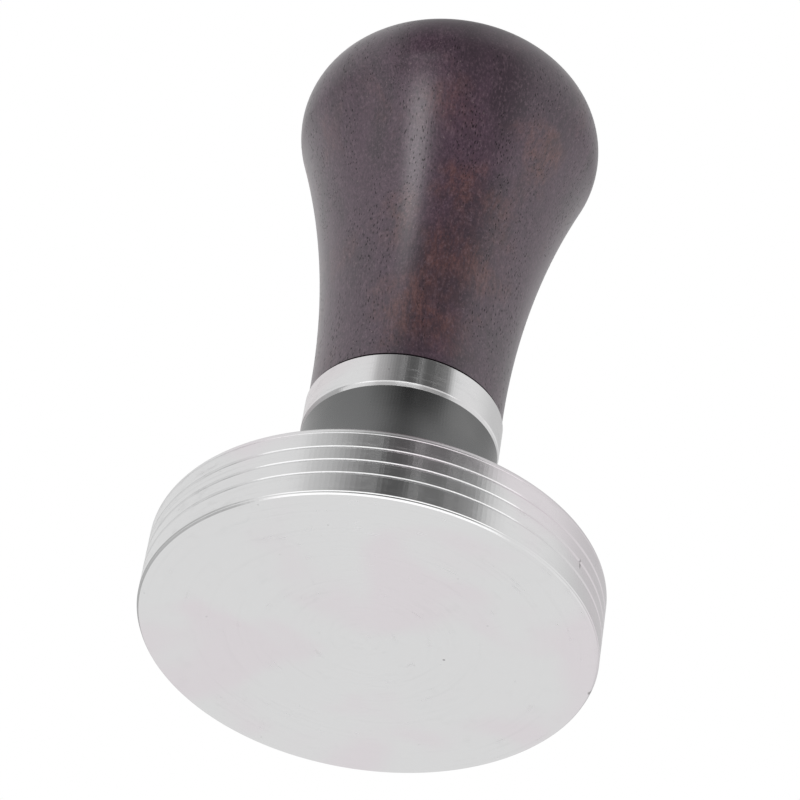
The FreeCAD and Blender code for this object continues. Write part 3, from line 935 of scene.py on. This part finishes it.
def makeStainedWood(name, look):
    finish, bench = newFinish(name)
    place, reach, height, around = aroundAxis(bench)
    bent = pushed(bench, place, *look["sway"])
    torn = pushed(bench, place, *look["tear"])
    noises = {label: bench.noise(bench.vector("MULTIPLY", bent, stretch), *values)
              for label, (stretch, *values) in look["noises"].items()}
    fibre, fleck = noises["fibre"], noises["fleck"]
    colour = bench.blend(bench.fade(noises["band"], *look["bandFade"]), look["dark"], look["body"])
    redness = (clouds(bench, torn, look, "redClouds") * look["redShare"]
               + bench.fade(noises["patch"], *look["patchFade"]) * look["patchShare"])
    redness = redness * (look["redLeast"] + bench.fade(fleck, *look["redFade"]) * look["redFleck"])
    colour = bench.blend(bench.calc("MINIMUM", redness, 1.0), colour, look["red"])
    gloom = clouds(bench, torn, look, "darkClouds") * look["darkShare"]
    gloom = gloom * (look["darkLeast"] + fleck * look["darkFleck"])
    colour = bench.blend(gloom, colour, look["dark"])
    for label, start, end, strength, stain in look["stains"]:
        colour = bench.blend(bench.fade(noises[label], start, end) * strength, colour, look[stain])
    poreCells = bench.cells(bench.vector("MULTIPLY", bent, look["poreStretch"]), look["poreSize"])
    crowd = bench.fade(noises["crowd"], *look["crowdFade"])
    often = look["poreLeast"] + crowd * (1 - look["poreLeast"])
    pore = (1 - bench.fade(poreCells, *look["poreFade"])) * often
    specks = 1 - bench.fade(bench.cells(place, look["speckSize"]), *look["speckFade"])
    colour = bench.blend(pore * look["poreDark"], colour, look["pore"])
    colour = bench.blend(specks * look["speckPale"], colour, look["speck"])
    # painted shade: the wood darkened towards the top of the crown, for light that does not reach it
    crownShadeMask = bench.fade(height, *(level * mm for level in look["crownShadeFade"]))
    colour = bench.blend(crownShadeMask * look["crownPaintedShade"], colour, look["dark"])
    foot = 1 - bench.fade(height, *((ringTop + above) * mm for above in look["footFade"]))
    colour = bench.blend(foot, colour, look["pore"])
    sanding = turningMarks(bench, reach, height, around, look["sandingSpread"],
                           look["sandingSpacing"])
    relief = (fibre * look["fibreHeight"] + fleck * look["fleckHeight"]
              + sanding * look["sandingHeight"] - pore)
    bump = bench.node("ShaderNodeBump", None, {
        "Strength": 1.0, "Distance": look["relief"], "Height": relief})
    worn = clouds(bench, place, look, "rubbedByPalm", core=0.0)
    lacquer = (1 - pore * look["poreBare"]) * (1 - foot) * (1 - worn)
    roughness = (look["roughness"] + fibre * look["fibreRough"] + pore * look["poreRough"]
                 + foot * look["footRough"])
    shader = bench.node("ShaderNodeBsdfPrincipled", None, {
        "Base Color": colour, "Roughness": roughness, "Coat Weight": lacquer,
        "Coat Roughness": look["coatRoughness"], "Coat IOR": look["coatIor"],
        "Specular IOR Level": look["shine"], "Normal": bump})
    bench.node("ShaderNodeOutputMaterial", None, {"Surface": shader})
    return finish


wood = makeStainedWood("stainedWood", woodLook)
print("wood made")


def makeHandle(shape):
    waist, waistLevel = shape["waistRadius"], ringTop + shape["waistRise"]
    bulb, bulbLevel = shape["bulbRadius"], handleTop - shape["crownRise"]
    shoulder = shape["shoulderRadius"]
    swell, climb = bulb - waist, bulbLevel - waistLevel
    grip = (swell ** 2 + climb ** 2) / (2 * swell) - shoulder
    lean = math.asin(climb / (grip + shoulder))
    footTurn = math.asin((ringTop - waistLevel) / grip)
    inset, rise = bulb - shoulder, handleTop - bulbLevel
    dome = (inset ** 2 + rise ** 2 - shoulder ** 2) / (2 * (rise - shoulder))
    meet = math.atan2(bulbLevel - (handleTop - dome), inset)
    flank = arc((waist + grip, waistLevel), grip, math.pi - footTurn, math.pi - lean, steps=90)
    flank += arc((inset, bulbLevel), shoulder, -lean, meet, steps=30)[1:]
    flank += arc((0, handleTop - dome), dome, meet, math.pi / 2, steps=30)[1:]
    footRadius = flank[0][0]
    gap = shape["footGap"]
    above = [corner for corner in flank[1:-1] if corner[1] > ringTop + gap + shape["footClear"]]
    rows = eased([
        (0, shape["boreTop"], 0), (shape["boreRadius"], shape["boreTop"], slight),
        (shape["boreRadius"], handleLevel, blunt),
        (shape["tenonRadius"], handleLevel, blunt), (shape["tenonRadius"], ringTop, slight),
        (footRadius - gap, ringTop, crisp),
        (footRadius - gap, ringTop + gap * shape["footStep"], crisp),
        (footRadius, ringTop + gap, shape["footEase"]), *above, (0, handleTop, 0),
    ])
    piece = turnPiece("woodHandle", rows, wood, shape["segments"])
    settlePiece(piece, "handle", "handle_grip")
    return piece


handle = makeHandle(handleShape)
lightOnly(softbox, [handle])


def threadRows(radius, low, high, cut, chamfer, step=0.105):
    # closely spaced rows that carry a thread, held inside a bevel at each end
    count = round((high - low) / step)
    rows = []
    for k in range(count + 1):
        up = low + (high - low) * k / count
        inset = max(0.0, chamfer - (up - low), chamfer - (high - up))
        rows.append(row(radius, up, 0, cut, radius - inset))
    return rows


studShape = {
    "radius": 3.95,
    "foot": 4.5,
    "top": 46.5,
    "pitch": 1.25,
    "cut": 0.74,
    "chamfer": 0.8,
    "socketSpan": 2.0,
    "socketDepth": 4.0,
    "socketRoom": 1.3,      # corner radius of the round mouth, in spans
    "socketLip": 0.3,
    "socketPoint": 0.6,
    "segments": 60,
    "crease": 50.0,
}


def makeStud(shape):
    top, floor = shape["top"], shape["top"] - shape["socketDepth"]
    span = shape["socketSpan"]
    wide = span * shape["socketRoom"]
    rows = [row(0, shape["foot"])]
    rows += threadRows(shape["radius"], shape["foot"], top, shape["cut"], shape["chamfer"])
    rows += [row(wide, top), row(wide, top - shape["socketLip"], span),
             row(wide, floor, span), row(0, floor - shape["socketPoint"])]
    piece = turnPiece("centreStud", rows, steel, shape["segments"], shape["pitch"], shape["crease"])
    settlePiece(piece, "base", "centre_stud")


insertShape = {
    "radius": 6.0,
    "bore": 4.0,
    "foot": 33.0,
    "top": 49.0,
    "grooves": 5,
    "groove": 0.5,
    "segments": 96,
}


def makeInsert(shape):
    foot, top, edge = shape["foot"], shape["top"], shape["radius"]
    bore, groove = shape["bore"], shape["groove"]
    gap = (top - foot) / (shape["grooves"] + 1)
    corners = [(bore, foot, soft), (edge, foot, mild)]
    for k in range(shape["grooves"]):
        level = foot + gap * (k + 1)
        low, high = level - groove / 2, level + groove / 2
        corners += [(edge, low, trim), (edge - groove, low, trim),
                    (edge - groove, high, trim), (edge, high, trim)]
    corners += [(edge, top, mild), (bore, top, soft), (bore, foot, soft)]
    piece = turnPiece("brassInsert", eased(corners, steps=3), brass, shape["segments"])
    settlePiece(piece, "handle", "threaded_insert")


nutShape = {
    "span": 6.5,
    "foot": 23.3,
    "top": 29.8,
    "bore": 4.0,
    "boreBevel": (0.45, 0.5),       # outward, upward
    "bevel": 0.55,
    "bevelInset": 0.15,
    "bevelSteps": 6,
    "segments": 96,
}


def makeNut(shape):
    foot, top, span = shape["foot"], shape["top"], shape["span"]
    start = span - shape["bevelInset"]
    spread = span / math.cos(math.pi / hexSides) - start
    steps = shape["bevelSteps"]
    bevelRows = [row(start + spread * k / steps, foot + shape["bevel"] * k / steps, span)
                 for k in range(steps + 1)]
    bore, (wider, deeper) = shape["bore"], shape["boreBevel"]
    rows = [row(bore, foot + deeper), row(bore + wider, foot)] + bevelRows
    rows += [row(across, top - (up - foot), flat) for across, up, flat, *_ in reversed(bevelRows)]
    rows += [row(bore + wider, top), row(bore, top - deeper), row(bore, foot + deeper)]
    piece = turnPiece("hexNut", rows, steel, shape["segments"])
    settlePiece(piece, "base", "hex_nut")


makeStud(studShape)
makeInsert(insertShape)
makeNut(nutShape)


def dressNode(node, finish):
    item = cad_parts[node]
    item.data.materials.clear()
    item.data.materials.append(finish)


for washer in ("plain_washer", "spring_washer"):
    dressNode(washer, steel)
print("all pieces made")
